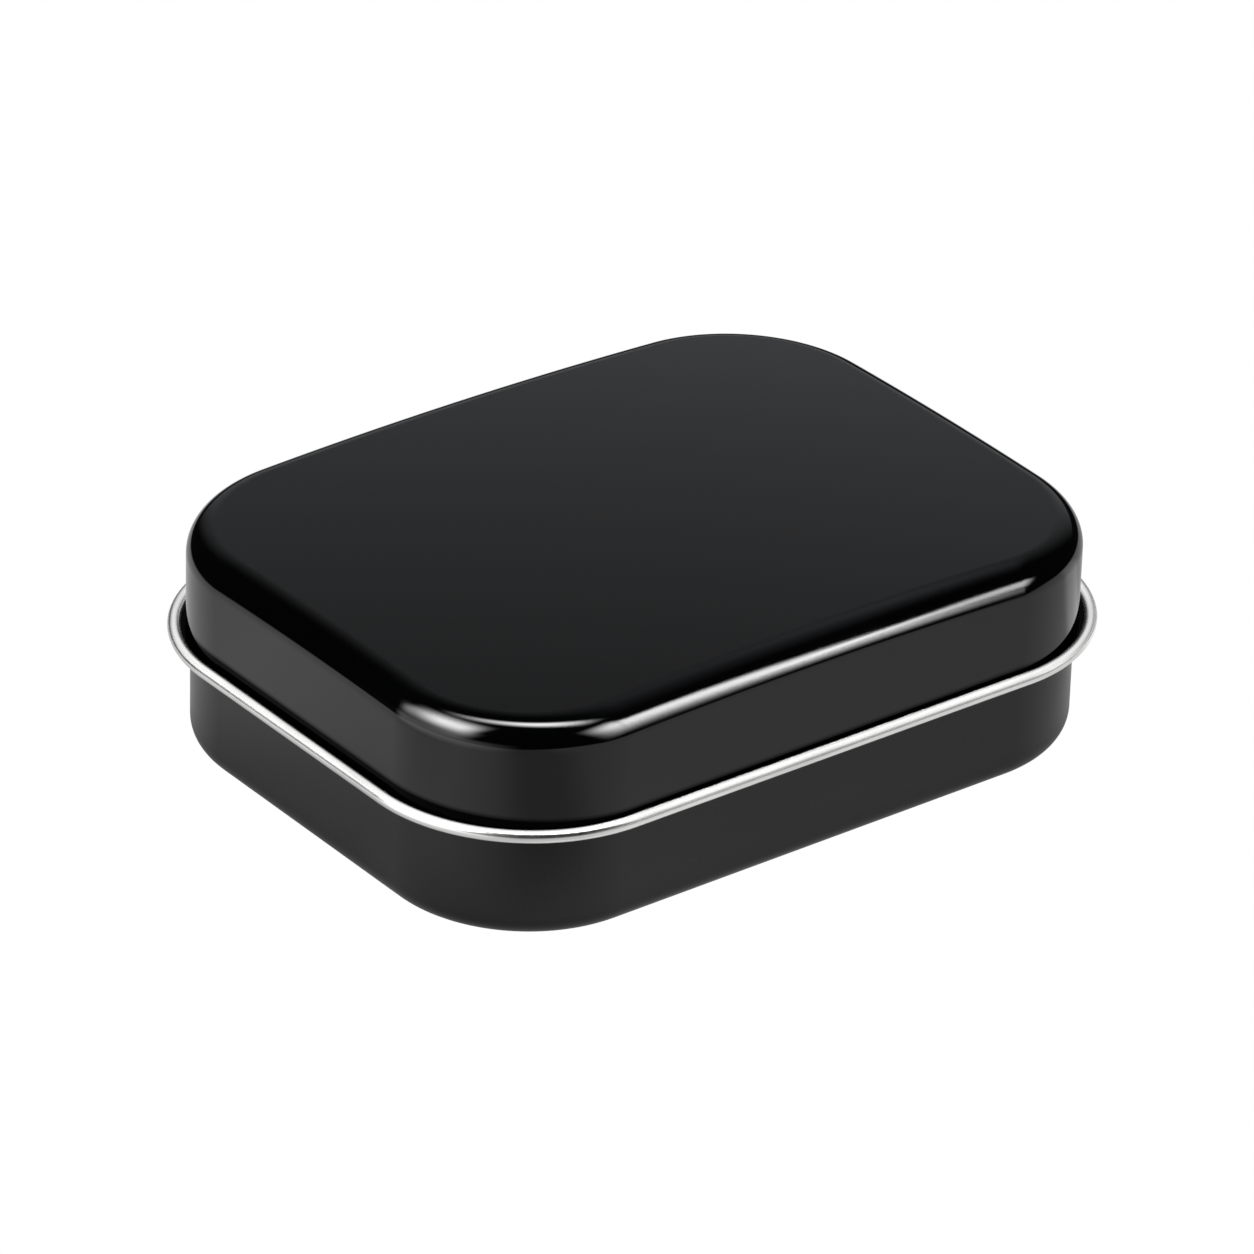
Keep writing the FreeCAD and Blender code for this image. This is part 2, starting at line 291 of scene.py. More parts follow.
# gloss black stoving lacquer on the outside of the lid
glossBlack = {
    "dark": (0.00012, 0.00014, 0.00018),
    "light": (0.00026, 0.0003, 0.00036),
    "cloudScale": 60,
    "roughness": (0.03, 0.07),
    "wipeScale": 220,
    "wipeStretch": (1, 0.25, 1),
    "orangePeel": 0.0000004,  # metres
    "peelScale": 850,
    "sheetWave": 0.000003,
    "waveScale": 45,
    "ior": 1.5,
    "gloss": (0.02, 0.5),  # specular level: lowered beside the rolled edge as a painted shade, and full above
    "shadeBand": (0.01292, 0.01345),  # metres up, from the painted shade to glossy
    "shadeBandLean": (0.0008, 0.0, 0.0),  # the painted shade reaches higher on the left wall
}


def makeGlossBlack():
    finish, tree, shader = newFinish("glossBlackLacquer")
    place = addNode(tree, "ShaderNodeTexCoord").outputs["Object"]
    colourBy(tree, shader, noise(tree, place, glossBlack["cloudScale"], 4), glossBlack, 0.35, 0.65)
    wiped = noise(tree, stretched(tree, place, glossBlack["wipeStretch"]), glossBlack["wipeScale"], 5, 0.6)
    tree.links.new(spread(tree, wiped, *glossBlack["roughness"]), shader.inputs["Roughness"])
    wave = relief(tree, noise(tree, place, glossBlack["waveScale"], 1), glossBlack["sheetWave"])
    peel = relief(tree, noise(tree, place, glossBlack["peelScale"], 2), glossBlack["orangePeel"], wave)
    tree.links.new(peel, shader.inputs["Normal"])
    # painted shade: the lacquer's specular level drops just above the rolled edge, and reaches higher on the left
    # wall
    wall = addNode(tree, "ShaderNodeVectorMath", operation="DOT_PRODUCT")
    wall.inputs[1].default_value = glossBlack["shadeBandLean"]
    tree.links.new(addNode(tree, "ShaderNodeNewGeometry").outputs["Normal"], wall.inputs[0])
    level = addNode(tree, "ShaderNodeSeparateXYZ")
    tree.links.new(place, level.inputs["Vector"])
    height = addNode(tree, "ShaderNodeMath", operation="ADD")
    tree.links.new(wall.outputs["Value"], height.inputs[0])
    tree.links.new(level.outputs["Z"], height.inputs[1])
    gloss = spread(tree, height.outputs["Value"], *glossBlack["gloss"], *glossBlack["shadeBand"])
    tree.links.new(gloss, shader.inputs["Specular IOR Level"])
    shader.inputs["IOR"].default_value = glossBlack["ior"]
    return finish


# satin black lacquer on the outside of the base
satinBlack = {
    "dark": (0.0008, 0.0008, 0.00085),
    "light": (0.0014, 0.0014, 0.0015),
    "cloudScale": 80,
    "roughness": (0.24, 0.3),
    "wipeScale": 260,
    "wipeStretch": (0.3, 0.3, 1),
    "tooth": 0.0000012,
    "toothScale": 2600,
    "sheetWave": 0.000004,
    "waveScale": 45,
    "ior": 1.45,
}


def makeSatinBlack():
    finish, tree, shader = newFinish("satinBlackLacquer")
    place = addNode(tree, "ShaderNodeTexCoord").outputs["Object"]
    colourBy(tree, shader, noise(tree, place, satinBlack["cloudScale"], 4), satinBlack, 0.35, 0.65)
    wiped = noise(tree, stretched(tree, place, satinBlack["wipeStretch"]), satinBlack["wipeScale"], 5, 0.6)
    tree.links.new(spread(tree, wiped, *satinBlack["roughness"]), shader.inputs["Roughness"])
    wave = relief(tree, noise(tree, place, satinBlack["waveScale"], 1), satinBlack["sheetWave"])
    tooth = relief(tree, noise(tree, place, satinBlack["toothScale"], 2), satinBlack["tooth"], wave)
    tree.links.new(tooth, shader.inputs["Normal"])
    shader.inputs["IOR"].default_value = satinBlack["ior"]
    return finish


# bare tinplate where it is rolled: fine drawing lines run along the roll
rolledTin = {
    "dark": (0.7, 0.7, 0.69),
    "light": (0.84, 0.84, 0.83),
    "cloudStretch": (140, 900, 1),  # along the roll and round it
    "roughness": (0.2, 0.28),
    "lines": 0.0000003,
    "lineStretch": (40, 12000, 1),
}


def makeRolledTin():
    finish, tree, shader = newFinish("rolledTinplate")
    sheet = addNode(tree, "ShaderNodeUVMap", uv_map="grain").outputs["UV"]
    lines = noise(tree, stretched(tree, sheet, rolledTin["lineStretch"]), 1.0, 4, 0.6)
    colourBy(tree, shader, noise(tree, stretched(tree, sheet, rolledTin["cloudStretch"]), 1.0, 3), rolledTin)
    tree.links.new(spread(tree, lines, *rolledTin["roughness"]), shader.inputs["Roughness"])
    tree.links.new(relief(tree, lines, rolledTin["lines"]), shader.inputs["Normal"])
    shader.inputs["Metallic"].default_value = 1.0
    return finish


# bare tinplate inside the tin, with the mill's grain along its length
insideTin = {
    "dark": (0.63, 0.63, 0.62),
    "light": (0.75, 0.75, 0.74),
    "cloudScale": 140,
    "roughness": (0.26, 0.38),
    "grain": 0.000002,
    "grainStretch": (60, 4200, 4200),
    "spangle": 0.000004,
    "spangleScale": 300,
}


def makeInsideTin():
    finish, tree, shader = newFinish("insideTinplate")
    place = addNode(tree, "ShaderNodeTexCoord").outputs["Object"]
    grain = noise(tree, stretched(tree, place, insideTin["grainStretch"]), 1.0, 4, 0.6)
    colourBy(tree, shader, noise(tree, place, insideTin["cloudScale"], 4), insideTin)
    tree.links.new(spread(tree, grain, *insideTin["roughness"]), shader.inputs["Roughness"])
    spangle = relief(tree, noise(tree, place, insideTin["spangleScale"], 2), insideTin["spangle"])
    tree.links.new(relief(tree, grain, insideTin["grain"], spangle), shader.inputs["Normal"])
    shader.inputs["Metallic"].default_value = 1.0
    return finish


# drawn steel wire: darker, with die lines along it
drawnSteel = {
    "dark": (0.36, 0.36, 0.36),
    "light": (0.52, 0.52, 0.52),
    "roughness": (0.24, 0.4),
    "dieLines": 0.000003,
    "lineStretch": (120, 9000, 9000),
}


def makeDrawnSteel():
    finish, tree, shader = newFinish("drawnSteelWire")
    place = addNode(tree, "ShaderNodeTexCoord").outputs["Object"]
    lines = noise(tree, stretched(tree, place, drawnSteel["lineStretch"]), 1.0, 4, 0.6)
    colourBy(tree, shader, lines, drawnSteel)
    tree.links.new(spread(tree, lines, *drawnSteel["roughness"]), shader.inputs["Roughness"])
    tree.links.new(relief(tree, lines, drawnSteel["dieLines"]), shader.inputs["Normal"])
    shader.inputs["Metallic"].default_value = 1.0
    return finish


lidFinish = makeGlossBlack()
baseFinish = makeSatinBlack()
rollFinish = makeRolledTin()
insideFinish = makeInsideTin()
wireFinish = makeDrawnSteel()
print("finishes made")

streakPieces, wallPieces, calmPieces, insidePieces = [], [], [], []  # lit apart, see the studio below


def fit(piece, body, node):
    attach(piece, body)
    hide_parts(node)
    return piece


# the lid: crowned top, rounded edge, wall, and the brim that carries the rolled edge
lid = {
    "height": 25.1,  # middle of the crown
    "crown": 570.0,
    "edge": 3.2,
    "edgeSteps": 18,
    "brimTop": 12.08,
    "brimBend": 0.15,
    "bendSteps": 5,
    "notchTop": 13.35,
    "wallSteps": 5,
}


def makeLidCover():
    crownZ = lid["height"] - lid["crown"]  # middle of the ball that the crown is part of
    ball = lid["crown"] - lid["edge"]
    plan = planAt(-lid["edge"])
    rise = np.sqrt(ball ** 2 - (plan ** 2).sum(1))
    middle = np.column_stack([plan, rise + crownZ])
    upward = np.column_stack([plan, rise]) / ball
    outward = facing(1, 0)
    angle = np.arccos((upward * outward).sum(1))[:, None]
    rows, normals = [], []
    for t in np.linspace(0, 1, lid["edgeSteps"] + 1):
        normal = (np.sin((1 - t) * angle) * upward + np.sin(t * angle) * outward) / np.sin(angle)
        rows.append(middle + lid["edge"] * normal)
        normals.append(normal)
    for t in np.linspace(0, 1, lid["wallSteps"] + 1)[1:]:
        rows.append(ringAt(0, middle[:, 2] * (1 - t) + lid["notchTop"] * t))
        normals.append(outward)
    notchRow = len(rows) - 1
    for t in np.linspace(0, math.pi / 2, lid["bendSteps"] + 1):
        c, s = math.cos(t), math.sin(t)
        rows.append(ringAt(lid["brimBend"] * (1 - c), lid["brimTop"] + lid["brimBend"] * (1 - s)))
        normals.append(facing(c, s))
    rows.append(ringAt(edgeRoll["reach"], lid["brimTop"]))
    normals.append(facing(0, 1))

    middlePlan, top = capGrid(rows[0][:, :2], len(rows) * around)
    lift = np.sqrt(lid["crown"] ** 2 - (middlePlan ** 2).sum(1))
    points = np.vstack(rows + [np.column_stack([middlePlan, lift + crownZ])])
    normals = np.vstack(normals + [np.column_stack([middlePlan, lift]) / lid["crown"]])

    low, high = outline["notchEdges"]
    bends, wall = [], []
    for quad in columnQuads(len(rows)):
        row, k = divmod(quad[0], around)
        across = abs(points[list(quad), 0]).mean()
        if row >= notchRow and onBack[k] and low < across < high:
            continue  # cut away for a hinge strap
        (wall if lid["edgeSteps"] <= row < notchRow else bends).append(quad)
    # top, wall and the bends above and below it are apart so that each can have its own lights
    for name, quads, group in (("lidTop", top, calmPieces), ("lidWall", wall, wallPieces),
                               ("lidBends", bends, streakPieces)):
        group.append(fit(pressOuter(name, points, normals, quads, lidFinish), "lid", "lid_cover"))
    inside = pressInner("lidInside", points, normals, top + wall + bends)
    insidePieces.append(fit(inside, "lid", "lid_cover"))


# how far along the outline each station is, counted from the middle of the back
def walkLength():
    plan = planAt(0)
    step = np.linalg.norm(np.roll(plan, -1, 0) - plan, axis=1)
    start = int(np.argmin(np.where(onBack, abs(plan[:, 0]), np.inf)))
    total = np.concatenate([[0], np.cumsum(np.roll(step, -start))[:-1]])
    return np.roll(total, start)


# the lid's lower edge, rolled up outward so that the bare side of the sheet shows
edgeRoll = {
    "radius": 0.65,
    "reach": 1.17,  # out from the lid's wall
    "start": 270.0,
    "turn": 300.0,
    "steps": 36,
    "barrelSteps": 16,
}
hingeY = outline["width"] / 2 + edgeRoll["reach"]
barrelEnd, rollEnd = outline["notchEdges"]


def rollAngles():
    return np.radians(edgeRoll["start"] + np.linspace(0, edgeRoll["turn"], edgeRoll["steps"] + 1))


def makeLidRolledEdge():
    rows, normals, grain = [], [], []
    length = walkLength()
    for angle in rollAngles():
        c, s = math.cos(angle), math.sin(angle)
        rows.append(ringAt(edgeRoll["reach"] + edgeRoll["radius"] * c, outline["seam"] + edgeRoll["radius"] * s))
        normals.append(facing(c, s))
        grain.append(np.column_stack([length, np.full(around, edgeRoll["radius"] * angle)]) * mm)
    points = np.vstack(rows)
    quads = [quad for quad in columnQuads(len(rows))
             if not (onBack[quad[0] % around] and abs(points[list(quad), 0]).mean() < rollEnd)]
    piece = pressSheet("lidRolledEdge", points, np.vstack(normals), quads, [rollFinish] * 3, np.vstack(grain))
    piece.visible_glossy = False  # the photo's lid shows no second bright line beside the roll
    return fit(piece, "lid", "lid_rolled_edge")


def gridQuads(rows, columns):
    return [(r * columns + k, (r + 1) * columns + k, (r + 1) * columns + k + 1, r * columns + k + 1)
            for r in range(rows - 1) for k in range(columns - 1)]


def makeLidHingeBarrel():
    x = np.linspace(-barrelEnd, barrelEnd, edgeRoll["barrelSteps"] + 1)
    points, normals, grain = [], [], []
    for angle in rollAngles():
        c, s = math.cos(angle), math.sin(angle)
        for place in x:
            points.append((place, hingeY + edgeRoll["radius"] * c, outline["seam"] + edgeRoll["radius"] * s))
            normals.append((0, c, s))
            grain.append((place * mm, edgeRoll["radius"] * angle * mm))
    quads = gridQuads(edgeRoll["steps"] + 1, len(x))
    piece = pressSheet("lidHingeBarrel", np.array(points), np.array(normals), quads,
                       [rollFinish] * 3, np.array(grain))
    return fit(piece, "lid", "lid_hinge_barrel")


makeLidCover()
barePieces = [makeLidRolledEdge(), makeLidHingeBarrel()]
print("lid built")

# the base: flat floor, rounded foot, wall, and two closing dimples on the front
tray = {
    "inset": 0.43,  # in from the lid's wall
    "foot": 2.6,
    "footSteps": 14,
    "wallSteps": 6,
    "top": 15.75,
    "dimpleRadius": 3.0,
    "dimpleHeight": 0.1,
    "dimpleZ": 14.0,
    "dimpleReach": (1.2, 1.0),  # from its middle: where the wall's plain rows end, and where the fine ones start
    "dimpleRows": 12,
}


def makeBaseTray():
    rows, normals = [], []
    for t in np.linspace(0, math.pi / 2, tray["footSteps"] + 1):
        rows.append(ringAt(tray["foot"] * (math.sin(t) - 1) - tray["inset"], tray["foot"] * (1 - math.cos(t))))
        normals.append(facing(math.sin(t), -math.cos(t)))
    clear, fine = tray["dimpleReach"]
    plainRows = np.linspace(tray["foot"], tray["dimpleZ"] - clear, tray["wallSteps"] + 1)[1:]
    fineRows = np.linspace(tray["dimpleZ"] - fine, tray["dimpleZ"] + fine, tray["dimpleRows"])
    for height in [*plainRows, *fineRows, tray["top"]]:
        ring, normal = ringAt(-tray["inset"], height), facing(1, 0)
        x, z = abs(ring[:, 0]) - outline["dimpleAt"], height - tray["dimpleZ"]
        cap = np.sqrt(np.maximum(tray["dimpleRadius"] ** 2 - x ** 2 - z ** 2, 0))
        push = cap - tray["dimpleRadius"] + tray["dimpleHeight"]
        raised = onFront & (push > 0)
        ring[raised, 1] -= push[raised]
        sideways = np.sign(ring[raised, 0]) * x[raised]
        normal[raised] = np.column_stack([sideways, -cap[raised], np.full(raised.sum(), z)]) / tray["dimpleRadius"]
        rows.append(ring)
        normals.append(normal)
    inside, floor = capGrid(rows[0][:, :2], len(rows) * around)
    points = np.vstack(rows + [np.column_stack([inside, np.zeros(len(inside))])])
    down = np.tile((0.0, 0.0, -1.0), (len(inside), 1))
    normals = np.vstack(normals + [down])
    quads = columnQuads(len(rows)) + floor
    streakPieces.append(fit(pressOuter("baseTray", points, normals, quads, baseFinish),
                            "base", "base_tray"))
    insidePieces.append(fit(pressInner("baseInside", points, normals, quads), "base", "base_tray"))


# the base's upper edge, rolled inward to hide the cut sheet
mouthRoll = {
    "radius": 0.55,
    "turn": 300.0,
    "steps": 28,
}


def makeBaseRolledMouth():
    rows, normals = [], []
    middle = -tray["inset"] - mouthRoll["radius"]
    for angle in np.radians(np.linspace(0, mouthRoll["turn"], mouthRoll["steps"] + 1)):
        c, s = math.cos(angle), math.sin(angle)
        rows.append(ringAt(middle + mouthRoll["radius"] * c, tray["top"] + mouthRoll["radius"] * s))
        normals.append(facing(c, s))
    piece = pressSheet("baseRolledMouth", np.vstack(rows), np.vstack(normals), columnQuads(len(rows)),
                       [baseFinish, insideFinish, insideFinish])
    return fit(piece, "base", "base_rolled_mouth")


# the two straps: a leaf spot-welded to the back wall, bent out and curled round the wire
strap = {
    "width": 8.0,
    "spacing": 30.0,
    "drop": 6.0,  # foot of the leaf below the hinge
    "leafCorner": 1.6,
    "bend": 0.25,
    "turn": 290.0,
    "weldAt": (2.0, 3.9),  # across from the middle, and below the hinge
    "weldRadius": 0.75,
    "weldDepth": 0.07,
    "columns": 48,
    "cornerSteps": 8,
    "leafSteps": 25,
    "bendSteps": 8,
    "curlStart": 270.0,
    "curlSteps": 36,
}


# from the leaf's foot to the end of the curl: place behind and above the hinge, facing, and trim at the corners
def strapPath():
    half = outline["gauge"] / 2
    bend, knuckle = strap["bend"] + half, edgeRoll["radius"] - half
    leafY = -(edgeRoll["reach"] + tray["inset"] - half)
    bendZ = -knuckle - bend
    path = []
    for t in np.linspace(0, math.pi / 2, strap["cornerSteps"] + 1)[:-1]:
        path.append((leafY, -strap["drop"] + strap["leafCorner"] * (1 - math.cos(t)), 1, 0,
                     strap["leafCorner"] * (1 - math.sin(t))))
    for z in np.linspace(-strap["drop"] + strap["leafCorner"], bendZ, strap["leafSteps"] + 1):
        path.append((leafY, z, 1, 0, 0))
    for t in np.linspace(math.pi, math.pi / 2, strap["bendSteps"] + 1)[1:]:
        c, s = math.cos(t), math.sin(t)
        path.append((leafY + bend + bend * c, bendZ + bend * s, -c, -s, 0))
    for t in np.radians(strap["curlStart"] + np.linspace(0, strap["turn"], strap["curlSteps"] + 1)):
        c, s = math.cos(t), math.sin(t)
        path.append((knuckle * c, knuckle * s, c, s, 0))
    return path


def makeHingeStrap(name, node, side):
    path = strapPath()
    columns = strap["columns"] + 1
    points, normals, grain = [], [], []
    along, before = 0.0, path[0]
    for step in path:
        y, z, outward, upward, trim = step
        along += math.hypot(y - before[0], z - before[1])
        before = step
        for u in np.linspace(-1, 1, columns):
            x = u * (strap["width"] / 2 - trim)
            weld = math.hypot(abs(x) - strap["weldAt"][0], z + strap["weldAt"][1]) / strap["weldRadius"]
            dent = strap["weldDepth"] * (1 + math.cos(math.pi * weld)) / 2 if weld < 1 and outward == 1 else 0
            reach = outline["gauge"] / 2 - dent
            points.append((side * strap["spacing"] / 2 + x, hingeY + y + reach * outward,
                           outline["seam"] + z + reach * upward))
            slope = [0.0, 0.0]
            if dent:
                steep = strap["weldDepth"] * math.pi / 2 * math.sin(math.pi * weld) / strap["weldRadius"]
                away = max(weld * strap["weldRadius"], 1e-6)
                slope = [math.copysign(1, x) * (abs(x) - strap["weldAt"][0]) / away * steep,
                         (z + strap["weldAt"][1]) / away * steep]
            normal = np.array([-slope[0], outward, upward - slope[1]])
            normals.append(normal / np.linalg.norm(normal))
            grain.append((along * mm, x * mm))
    piece = pressSheet(name, np.array(points), np.array(normals), gridQuads(len(path), columns),
                       [rollFinish] * 3, np.array(grain))
    return fit(piece, "base", node)


# the wire that the lid and the straps turn on, cropped square with a burr rounded off each end
wire = {
    "length": 44.4,
    "radius": 0.37,
    "burr": 0.1,
    "burrSteps": 4,
    "sides": 28,
    "lengths": 30,
    "sharpFrom": 40.0,  # degrees
}


def makeHingeWire():
    half = wire["length"] / 2
    ends = [(wire["burr"] * (1 - math.cos(t)), wire["burr"] * (1 - math.sin(t)))
            for t in np.linspace(0, math.pi / 2, wire["burrSteps"] + 1)]
    profile = [(-half + inward, wire["radius"] - less) for inward, less in ends]
    profile += [(x, wire["radius"]) for x in np.linspace(-half, half, wire["lengths"] + 1)[1:-1]]
    profile += [(half - inward, wire["radius"] - less) for inward, less in reversed(ends)]
    points, faces = [], []
    sides = wire["sides"]
    for x, radius in profile:
        for k in range(sides):
            angle = 2 * math.pi * k / sides
            points.append((x * mm, (hingeY + radius * math.cos(angle)) * mm,
                           (outline["seam"] + radius * math.sin(angle)) * mm))
    for row in range(len(profile) - 1):
        for k in range(sides):
            follow = (k + 1) % sides
            faces.append((row * sides + k, row * sides + follow,
                          (row + 1) * sides + follow, (row + 1) * sides + k))
    last = (len(profile) - 1) * sides
    faces.append(tuple(reversed(range(sides))))
    faces.append(tuple(range(last, last + sides)))
    mesh = bpy.data.meshes.new("hingeWire")
    mesh.from_pydata(points, [], [face[::-1] for face in faces])
    mesh.polygons.foreach_set("use_smooth", [True] * len(faces))
    mesh.set_sharp_from_angle(angle=math.radians(wire["sharpFrom"]))
    mesh.materials.append(wireFinish)
    mesh.update()
    return fit(addToScene("hingeWire", mesh), "lid", "hinge_wire")


makeBaseTray()
streakPieces.append(makeBaseRolledMouth())
barePieces.append(makeHingeStrap("hingeStrapLeft", "hinge_strap_left", -1))
barePieces.append(makeHingeStrap("hingeStrapRight", "hinge_strap_right", 1))
barePieces.append(makeHingeWire())
print("base and hinge built")

# studio: azimuth 0 is behind the tin, 90 to its right, 180 in front
studio = {
    "centre": (0.0, 0.0, 0.018),
    "domes": {"lightDome": 1.6, "frontLights": 1.5, "bareLight": 1.4, "insideLight": 1.3, "calmGlow": 1.2},  # radii
    "step": 1.5,  # degrees between a dome's points
    "lowest": -24.0,
    "highest": 90.0,
    "tint": (1.0, 1.0, 1.0),  # of a light that has none of its own
    "edgeOn": 0.02,  # cosine below which a light is seen too flat to count
    "least": 0.002,  # dimmer faces are left out
    "surround": 0.01,
}


def towards(azimuth, elevation):
    a, e = np.radians(azimuth), np.radians(elevation)
    return np.stack([np.sin(a) * np.cos(e), np.cos(a) * np.cos(e), np.sin(e) + 0 * a], -1)


def smooth(t):
    t = np.clip(t, 0, 1)
    return t * t * (3 - 2 * t)


# a soft light as the tin sees it: half sizes and lean in degrees, and how far each edge is feathered
rightStrip = {"azimuth": 160.2, "elevation": 19.0, "half": (28.8, 16.3), "lean": 74.5,
              "feather": (2.0, 0.84, 1.41, 0.54), "strength": 26.0}
stripTip = {"azimuth": 137.6, "elevation": 15.0, "half": (12.0, 6.4), "lean": -51.9,
            "feather": (0.75, 0.68, 2.0, 0.27), "strength": 12.4}
stripEdge = {"azimuth": 147.0, "elevation": 13.8, "half": (26.6, 4.2), "lean": 88.4,
             "feather": (1.22, 0.39, 1.89, 1.25), "strength": 30.0}
leftBox = {"azimuth": 281.4, "elevation": 40.4, "half": (24.2, 24.4), "lean": -10.4,
           "feather": (0.66, 1.03, 1.24, 1.24), "strength": 23.0}
leftBody = {"azimuth": 281.4, "elevation": 23.2, "half": (29.6, 22.8), "lean": 7.0,
            "feather": (0.57, 0.34, 2.0, 1.19), "strength": 8.3}
leftTip = {"azimuth": 304.0, "elevation": 24.0, "half": (11.0, 20.0), "lean": -18.0,
           "feather": (2.0, 1.2, 1.7, 1.4), "strength": 3.0}
leftSkirt = {"azimuth": 265.5, "elevation": -4.5, "half": (47.0, 19.5), "lean": -0.9,
             "feather": (1.29, 0.25, 1.3, 0.6), "strength": 1.3}
overheadStrip = {"azimuth": 219.5, "elevation": 81.9, "half": (34.4, 11.1), "lean": 15.7,
                 "feather": (1.14, 1.44, 1.5, 1.06), "strength": 38.0}
backGlow = {"azimuth": 40.4, "elevation": 38.8, "half": (42.7, 35.6), "lean": 8.1,
            "feather": (0.79, 0.98, 0.11, 2.0), "tint": (0.94, 0.96, 1.0), "strength": 0.4}
highGlow = {"azimuth": 81.5, "elevation": 61.5, "half": (33.2, 17.3), "lean": 14.0,
            "feather": (0.96, 2.0, 0.62, 2.0), "tint": (0.9, 0.93, 1.0), "strength": 0.6}


def glowOf(light, direction):
    aim = towards(light["azimuth"], light["elevation"])
    right = np.cross(aim, (0, 0, 1))
    right = right / np.linalg.norm(right)
    up = np.cross(right, aim)
    lean = math.radians(light["lean"])
    ahead = direction @ aim
    seen = ahead > studio["edgeOn"]
    safe = np.where(seen, ahead, 1)
    wide, tall = (math.tan(math.radians(half)) for half in light["half"])
    u = direction @ (right * math.cos(lean) + up * math.sin(lean)) / safe / wide
    v = direction @ (up * math.cos(lean) - right * math.sin(lean)) / safe / tall
    start, end, low, high = light["feather"]
    level = smooth((1 + u) / start) * smooth((1 - u) / end) * smooth((1 + v) / low) * smooth((1 - v) / high)
    return np.where(seen, level * light["strength"], 0)[:, None] * np.array(light.get("tint", studio["tint"]))


# light that adds to whatever lies behind it
def shineFinish(name):
    finish, tree = emptyFinish(name)
    glow = addNode(tree, "ShaderNodeAttribute", attribute_name="glow")
    shine = addNode(tree, "ShaderNodeEmission", {"Strength": 1.0})
    tree.links.new(glow.outputs["Color"], shine.inputs["Color"])
    both = addNode(tree, "ShaderNodeAddShader")
    tree.links.new(shine.outputs["Emission"], both.inputs[0])
    tree.links.new(addNode(tree, "ShaderNodeBsdfTransparent").outputs["BSDF"], both.inputs[1])
    tree.links.new(both.outputs["Shader"], addNode(tree, "ShaderNodeOutputMaterial").inputs["Surface"])
    return finish


def shiningSheet(name, points, quads, glow):
    bright = glow.max(1)
    mesh = bpy.data.meshes.new(name)
    mesh.from_pydata(points.tolist(), [], [quad for quad in quads if bright[list(quad)].max() > studio["least"]])
    shade = mesh.attributes.new("glow", "FLOAT_COLOR", "POINT")
    shade.data.foreach_set("color", np.column_stack([glow, np.ones(len(glow))]).ravel())
    mesh.materials.append(shineFinish(name))
    sheet = addToScene(name, mesh)
    sheet.visible_camera = False
    return sheet


def gather(name, pieces):
    group = bpy.data.collections.new(name)
    for piece in pieces:
        group.objects.link(piece)
    return group


# the lights lie on domes round the tin, and each dome lights only the pieces given
def makeLightDome(name, lights, pieces):
    azimuth = np.arange(0, 360 + studio["step"] / 2, studio["step"])
    elevation = np.arange(studio["lowest"], studio["highest"] + studio["step"] / 2, studio["step"])
    direction = np.array([towards(a, e) for e in elevation for a in azimuth])
    glow = sum(glowOf(light, direction) for light in lights)
    points = np.array(studio["centre"]) + studio["domes"][name] * direction
    sheet = shiningSheet(name, points, gridQuads(len(elevation), len(azimuth)), glow)
    return lightOnly(sheet, pieces)


def lightOnly(sheet, pieces):
    sheet.light_linking.receiver_collection = gather(sheet.name + "Pieces", pieces)
    return sheet


makeLightDome("lightDome", [leftBox, leftBody, leftTip, leftSkirt, overheadStrip, backGlow, highGlow],
              streakPieces + barePieces)
makeLightDome("frontLights", [rightStrip, stripTip, stripEdge], streakPieces + wallPieces)

# faint glows for the lid's top and wall, alike from every side, and one straight above
aroundGlow = {"azimuths": (132.0, 220.0, 308.0), "half": (58.0, 35.6), "feather": (0.9, 0.9, 0.11, 2.0)}
aboveGlow = {"azimuth": 40.0, "elevation": 86.0, "half": (34.0, 30.0), "lean": 0.0,
             "feather": (1.0, 1.0, 1.0, 1.0), "tint": (0.94, 0.96, 1.0), "strength": 0.8}
calmGlows = [dict(backGlow, azimuth=azimuth, half=aroundGlow["half"], feather=aroundGlow["feather"])
             for azimuth in aroundGlow["azimuths"]]
makeLightDome("calmGlow", [backGlow, highGlow, aboveGlow] + calmGlows, calmPieces + wallPieces)

# a broad light from behind and above that only the bare metal takes; the lacquer casts no shadow in it
bareLight = {"azimuth": 50.0, "elevation": 62.0, "half": (80.0, 52.0), "lean": 0.0,
             "feather": (0.45, 0.45, 0.9, 0.45), "strength": 1.15}
bareFront = {"azimuth": 120.0, "elevation": 2.0, "half": (68.0, 16.0), "lean": 0.0,
             "feather": (0.5, 0.6, 0.5, 0.5), "strength": 0.7}


def makeBareLight():
    sheet = makeLightDome("bareLight", [bareLight, bareFront], barePieces)
    shadeless = gather("bareLightShadeless", streakPieces + wallPieces + calmPieces + insidePieces)
    for entry in shadeless.collection_objects:
        entry.light_linking.link_state = "EXCLUDE"
    sheet.light_linking.blocker_collection = shadeless


makeBareLight()

# soft light for the bare inside of the tin, seen once the lid is open
insideFront = {"azimuth": 165.0, "elevation": 25.0, "half": (75.0, 48.0), "lean": 0.0,
               "feather": (0.8, 0.8, 0.9, 0.7), "strength": 1.1}
insideBack = {"azimuth": 340.0, "elevation": 42.0, "half": (70.0, 30.0), "lean": 0.0,
              "feather": (0.7, 0.7, 0.7, 0.7), "tint": (0.97, 0.98, 1.0), "strength": 1.0}
makeLightDome("insideLight", [insideFront, insideBack], insidePieces)

